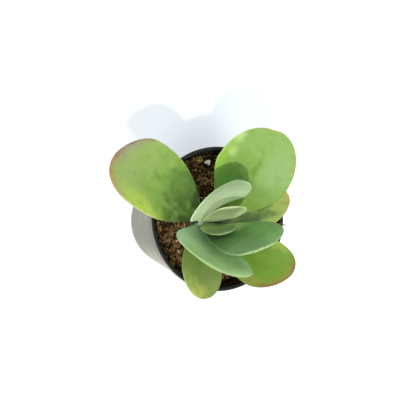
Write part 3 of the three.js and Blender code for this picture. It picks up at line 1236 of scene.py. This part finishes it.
LEAVES = (
    Leaf("leaf_lowest_south", "leaf_olive", seat=(0.5, -4, 90.5), heading=(-93.2, 11.3),
         lift=(21.2, -20.9), roll=(0.5, -3.2), length=51.9, width=31.5, widest=0.57, foot=0.22,
         flare=1.2, end=2.08, skew=0.03, lean=-0.03, cup=0.11, thick=3.6, setback=0.34,
         finish=LeafFinish(rgb(110, 130, 56), rgb(114, 138, 62), rgb(126, 150, 72), (
             Tint(rgb(156, 178, 86), 0.75, -0.95, (0.3, 0.4), 0.7),
             Tint(rgb(156, 170, 88), 0.95, 0.6, (0.3, 0.7), 0.5),
             Tint(rgb(206, 208, 100), 1.0, -0.65, (0.39, 0.95), 0.9),
             Tint(rgb(166, 186, 112), 0.6, 0.0, (0.6, 1.4), 0.6, 1.0)))),
    Leaf("leaf_lowest_east", "leaf_olive", seat=(3.5, 1, 93.5), heading=(13, -4), lift=(9, -3),
         roll=(4, 2), length=71.5, width=40, widest=0.56, foot=0.25, flare=1.2, end=1.86, skew=0,
         lean=0.06, cup=0.11, thick=3.8, setback=0.34,
         finish=LeafFinish(rgb(26, 42, 10), rgb(80, 118, 40), rgb(158, 180, 86), (
             # painted shadow: the dark streak that the inner south leaf casts
             Tint(rgb(52, 82, 36), 0.56, -0.42, (0.44, 0.24), 0.85),
             # painted light: lifts the shade that the broad north leaf casts here
             Tint(rgb(246, 255, 200), 0.52, 0.1, (0.25, 0.4), 0.95),
             Tint(rgb(206, 162, 98), 0.97, 0.1, (0.22, 1.1), 0.85, 6.0)),
             # painted glow, stronger in one spot, that lifts that shade further
             painted_leaf_glow=(0.006, 0.009, 0.004), painted_glow_spot=(0.5, 0.6, 14.0))),
    Leaf("leaf_outer_east", "leaf_green", seat=(2, -2, 98.4), heading=(-33.2, 5.4), lift=(14.1, -2.6),
         roll=(-11, 25.2), length=75.9, width=39.1, widest=0.64, foot=0.3, flare=1.43, end=2.04,
         skew=0.2, lean=-0.17, cup=0.11, thick=4, setback=0.2,
         finish=LeafFinish(rgb(84, 118, 36), rgb(98, 134, 26), rgb(114, 152, 34), (
             Tint(rgb(172, 198, 88), 0.78, 0.95, (0.36, 0.6), 0.8),
             Tint(rgb(150, 160, 64), 0.62, -0.95, (0.25, 0.35)),
             Tint(rgb(150, 132, 52), 0.97, -0.35, (0.26, 1.1), 0.7, 10.0),
             Tint(rgb(150, 94, 62), 0.93, -0.4, (0.45, 1.6), 0.95, 4.6)),
             bloom_strength=0.02)),
    Leaf("leaf_outer_west", "leaf_green", seat=(-1, 4.5, 100), heading=(140, 10), lift=(24.5, -44),
         roll=(-6, 31.5), length=77.2, width=54.8, widest=0.72, foot=0.13, flare=0.89, end=1.84,
         skew=0.03, lean=0.07, cup=0.22, thick=4.4,
         finish=LeafFinish(rgb(78, 110, 38), rgb(130, 168, 66), rgb(156, 182, 98), (
             Tint(rgb(188, 216, 98), 0.72, 0.85, (0.3, 0.5), 0.7),
             Tint(rgb(70, 98, 32), 0.27, -0.05, (0.2, 1.0), 0.88),
             Tint(rgb(196, 220, 82), 0.54, 0.97, (0.3, 0.5), 0.8),
             Tint(rgb(98, 134, 50), 0.4, -0.3, (0.22, 0.45), 0.7),
             Tint(rgb(54, 88, 28), 0.17, -0.25, (0.14, 0.4), 0.5),
             # painted highlight along the right margin
             Tint(rgb(196, 224, 140), 0.5, -0.95, (0.5, 0.4), 0.9, 1.0),
             Tint(rgb(160, 138, 130), 0.99, -0.5, (0.3, 0.85), 0.85, 16.0),
             Tint(rgb(228, 222, 146), 0.6, 0.97, (0.3, 0.4), 0.8, 1.3),
             Tint(rgb(192, 146, 92), 0.96, 0.8, (0.22, 0.6), 0.85, 10.0),
             Tint(rgb(204, 146, 94), 0.9, 0.9, (0.22, 0.5), 0.9, 4.0),
             Tint(rgb(186, 126, 88), 1.0, 0.3, (0.2, 0.8), 0.8, 6.0),
             Tint(rgb(148, 96, 84), 0.95, -0.55, (0.3, 0.65), 0.9, 4.5)))),
    Leaf("leaf_broad_south", "leaf_bluish", seat=(-1, -2.8, 103.9), heading=(-116, -2.8),
         lift=(52.5, 19.4), roll=(4.5, -2.6), length=65.2, width=56.5, widest=0.67, foot=0.17,
         flare=0.99, end=2.34, skew=0.05, lean=0.05, cup=0.14, thick=3.8,
         finish=LeafFinish(rgb(150, 190, 146), rgb(200, 234, 164), rgb(166, 202, 126), (
             Tint(rgb(184, 216, 184), 0.45, -0.85, (0.5, 0.5)),
             # painted light: these two lift the shade that the inner south leaf casts on the blade
             Tint(rgb(224, 252, 172), 0.68, 0.3, (0.24, 0.5), 0.85),
             Tint(rgb(204, 236, 156), 0.92, 0.6, (0.24, 0.9), 0.85),
             Tint(rgb(110, 144, 86), 0.7, 0.0, (1.0, 1.6), 0.85, 1.4),
             Tint(rgb(200, 222, 146), 1.0, 0.1, (0.4, 1.5), 0.55, 0.8)),
             bloom_strength=0.1, powder=0.3, flesh=0.5)),
    Leaf("leaf_broad_north", "leaf_green", seat=(3.5, 2.3, 105), heading=(38.7, 37.8),
         lift=(42.7, -24.4), roll=(5, -8), length=81.6, width=57.9, widest=0.61, foot=0.12, flare=1.81,
         end=2.17, skew=0.045, lean=0.09, cup=0.16, thick=4.4, setback=0.45,
         finish=LeafFinish(rgb(112, 146, 42), rgb(122, 163, 58), rgb(152, 188, 98), (
             Tint(rgb(156, 204, 72), 0.6, 0.97, (0.35, 0.28), 0.7),
             Tint(rgb(158, 192, 122), 0.66, -0.4, (0.28, 0.6), 0.7),
             Tint(rgb(206, 230, 146), 0.86, 0.82, (0.12, 0.22), 0.85),
             Tint(rgb(200, 228, 140), 0.7, 0.84, (0.12, 0.2), 0.7),
             Tint(rgb(122, 162, 60), 0.64, 0.03, (0.2, 0.12), 0.8),
             Tint(rgb(98, 138, 44), 0.48, 0.02, (0.17, 0.32), 0.8),
             Tint(rgb(118, 152, 50), 0.42, -0.5, (0.19, 0.45), 0.8),
             # painted shade: deepens and greens the shadow that the inner north leaf casts
             Tint(rgb(84, 142, 62), 0.42, 0.45, (0.24, 0.5), 0.75),
             Tint(rgb(205, 222, 130), 0.75, 0.95, (0.4, 0.3), 0.6, 1.2),
             Tint(rgb(222, 186, 112), 0.9, -0.3, (0.45, 1.3), 0.85, 1.6)))),
    Leaf("leaf_inner_south", "leaf_bluish", seat=(3.3, -2.8, 110.5), heading=(-52.7, -22.3),
         lift=(70, -3.5), roll=(-32.5, 29.2), length=53, width=51.1, widest=0.65, foot=0.16,
         flare=0.96, end=3.36, skew=-0.11, lean=0.22, cup=0.15, thick=3.5,
         finish=LeafFinish(rgb(90, 132, 60), rgb(100, 142, 74), rgb(116, 158, 98), (
             # painted light: lifts the shade that the heart south leaf casts near the seat
             Tint(rgb(204, 234, 144), 0.18, 0.6, (0.32, 0.8), 0.92),
             Tint(rgb(62, 96, 42), 0.6, -0.65, (0.32, 0.6), 0.8),
             Tint(rgb(96, 152, 92), 0.62, 0.1, (0.2, 0.4), 0.4),
             Tint(rgb(130, 178, 96), 0.55, 0.8, (0.5, 0.6), 0.7),
             Tint(rgb(146, 190, 118), 0.95, 0.8, (0.25, 0.6), 0.6),
             # painted highlight along the margin at the tip
             Tint(rgb(226, 244, 186), 1.0, 0.25, (0.22, 1.0), 0.85, 0.9)),
             powder=0.1, flesh=0.25)),
    Leaf("leaf_inner_north", "leaf_pale", seat=(-2.5, 1.3, 110.7), heading=(110.2, -40.4),
         lift=(58.3, 20.2), roll=(12.2, 15.7), length=65.6, width=46, widest=0.44, foot=0.21,
         flare=2.14, end=2.14, skew=0.13, lean=-0.06, cup=0.25, thick=3.6, setback=0.44,
         finish=LeafFinish(rgb(196, 218, 172), rgb(212, 236, 194), rgb(172, 204, 142), (
             Tint(rgb(224, 242, 204), 0.7, 0.0, (0.7, 1.4), 0.6, 1.0),
             Tint(rgb(120, 150, 104), 0.0, 0.0, (0.12, 1.6), 0.8),
             Tint(rgb(98, 132, 66), 1.0, 0.5, (0.3, 1.8), 0.9)),
             bloom=rgb(192, 212, 186), bloom_strength=0.15, powder=0.5, flesh=0.5,
             # painted glow that lifts the shadow the heart north leaf casts on the blade
             painted_leaf_glow=(0.085, 0.08, 0.058), painted_glow_spot=(0.3, -0.1, 1.6))),
    Leaf("leaf_heart_south", "leaf_bluish", seat=(0, -1.5, 117.6), heading=(-98.9, 10.7),
         lift=(76.9, -3), roll=(0.7, 8.7), length=25.6, width=25.1, widest=0.57, foot=0.26, flare=1.48,
         end=2.24, skew=0.04, lean=-0.01, cup=0.11, thick=2.6, wave=0.1,
         finish=LeafFinish(rgb(172, 198, 124), rgb(162, 188, 124), rgb(122, 146, 100), (
             # painted shade in a fold of the blade
             Tint(rgb(70, 96, 50), 0.3, 0.2, (0.14, 0.5), 0.7),
             Tint(rgb(180, 204, 138), 0.9, 0.0, (0.6, 1.2), 0.45, 0.7)),
             powder=0.1, flesh=0.3)),
    Leaf("leaf_heart_north", "leaf_pale", seat=(0.5, 1.35, 117.3), heading=(94.4, 2.6),
         lift=(87.2, -19.6), roll=(-2.8, -0.8), length=37.4, width=27.4, widest=0.69, foot=0.18,
         flare=0.53, end=2.8, skew=0.05, lean=-0.09, cup=0.05, thick=2.6, wave=0.1,
         finish=LeafFinish(rgb(194, 210, 146), rgb(196, 210, 148), rgb(156, 172, 114), (
             Tint(rgb(112, 134, 76), 0.2, 0.6, (0.18, 0.6), 0.8),
             Tint(rgb(232, 238, 196), 0.65, -0.95, (0.55, 0.5), 0.95),
             Tint(rgb(228, 236, 186), 0.7, 0.0, (1.0, 1.6), 0.9, 2.0)),
             powder=0.3, flesh=0.35)),
)


# ---- studio ----


@dataclass
class Studio:
    """A pale bench, soft light from the near left, and the camera. Metres."""

    frame_pixels: int = 416
    focal_pixels: float = 722.2
    right_down_pixels: Pair = (0.44, 0.53)      # how far off the middle the axis lies
    sensor: float = 36.0            # millimetres
    clip: Pair = (0.01, 20.0)
    camera_place: Triple = (-0.218714, 0.0, 0.574273)
    forward: Triple = (0.40238633, 0.01472888, -0.91535146)
    upward: Triple = (0.03784045, 0.99874845, 0.03270539)
    sun_direction: Triple = (-0.377, -0.352, 0.857)
    sun_strength: float = 1.7
    sun_spread: float = 2.5         # degrees
    fill_direction: Triple = (-0.25, 0.62, 0.745)
    fill_strength: float = 0.8
    fill_spread: float = 80.0       # degrees
    lamp_colour: Colour = (1.0, 0.985, 0.95)
    sky: Colour = (0.93, 0.97, 1.0)
    sky_strength: float = 0.45
    bench_size: float = 6.0
    bench: BenchFinish = BenchFinish((0.41, 0.41, 0.41), (0.82, 0.90, 0.96), 0.73)

    def lay_bench(self) -> Piece:
        """Build the bench top.

        Returns:
            The bench, which isn't part of the object.
        """
        mesh = bmesh.new()
        bmesh.ops.create_grid(mesh, x_segments=8, y_segments=8, size=self.bench_size / 2)
        top = formed(mesh, "bench_top")
        top.data.materials.append(self.bench.material("bench_white"))
        return top

    def hang_lights(self) -> None:
        """Add the key light, a wide fill and the even light of a white room."""
        for name, direction, strength, spread in (
                ("window", self.sun_direction, self.sun_strength, self.sun_spread),
                ("white_wall", self.fill_direction, self.fill_strength, self.fill_spread)):
            lamp = bpy.data.lights.new(name, "SUN")
            lamp.energy = strength
            lamp.angle = math.radians(spread)
            lamp.color = self.lamp_colour
            turn = Vector(direction).to_track_quat("Z", "Y")
            linked(name, lamp).rotation_euler = turn.to_euler()
        world = bpy.data.worlds.new("white_room")
        world.use_nodes = True
        background = world.node_tree.nodes["Background"]
        background.inputs["Color"].default_value = (*self.sky, 1.0)
        background.inputs["Strength"].default_value = self.sky_strength
        bpy.context.scene.world = world

    def place_camera(self) -> None:
        """Put the camera above the near left and make it the scene's own."""
        lens = bpy.data.cameras.new("camera")
        lens.sensor_width = self.sensor
        lens.lens = self.focal_pixels * self.sensor / self.frame_pixels
        aside, down = (shift / self.frame_pixels for shift in self.right_down_pixels)
        lens.shift_x, lens.shift_y = -aside, down
        lens.clip_start, lens.clip_end = self.clip
        forward, upward = Vector(self.forward), Vector(self.upward)
        right = forward.cross(upward).normalized()
        turn = Matrix((right, upward, -forward)).transposed().to_4x4()
        camera = linked("camera", lens)
        camera.matrix_world = Matrix.Translation(self.camera_place) @ turn
        bpy.context.scene.camera = camera

    def build(self) -> None:
        """Set up the bench, the light and the camera."""
        self.lay_bench()
        self.hang_lights()
        self.place_camera()
        bpy.context.scene.view_settings.view_transform = "Standard"


def main() -> None:
    """Build the potted plant piece by piece, then the studio round it."""
    logging.basicConfig(level=logging.INFO, format="%(message)s")
    pot = NurseryPot()
    pot.build()
    mix = BarkMix(pot)
    mix.build()
    Fibres(mix).build()
    PerliteGrain(mix).build()
    stem = Stem()
    stem.build()
    for leaf in LEAVES:
        leaf.build(stem)
    Studio().build()


if __name__ == "__main__":
    main()
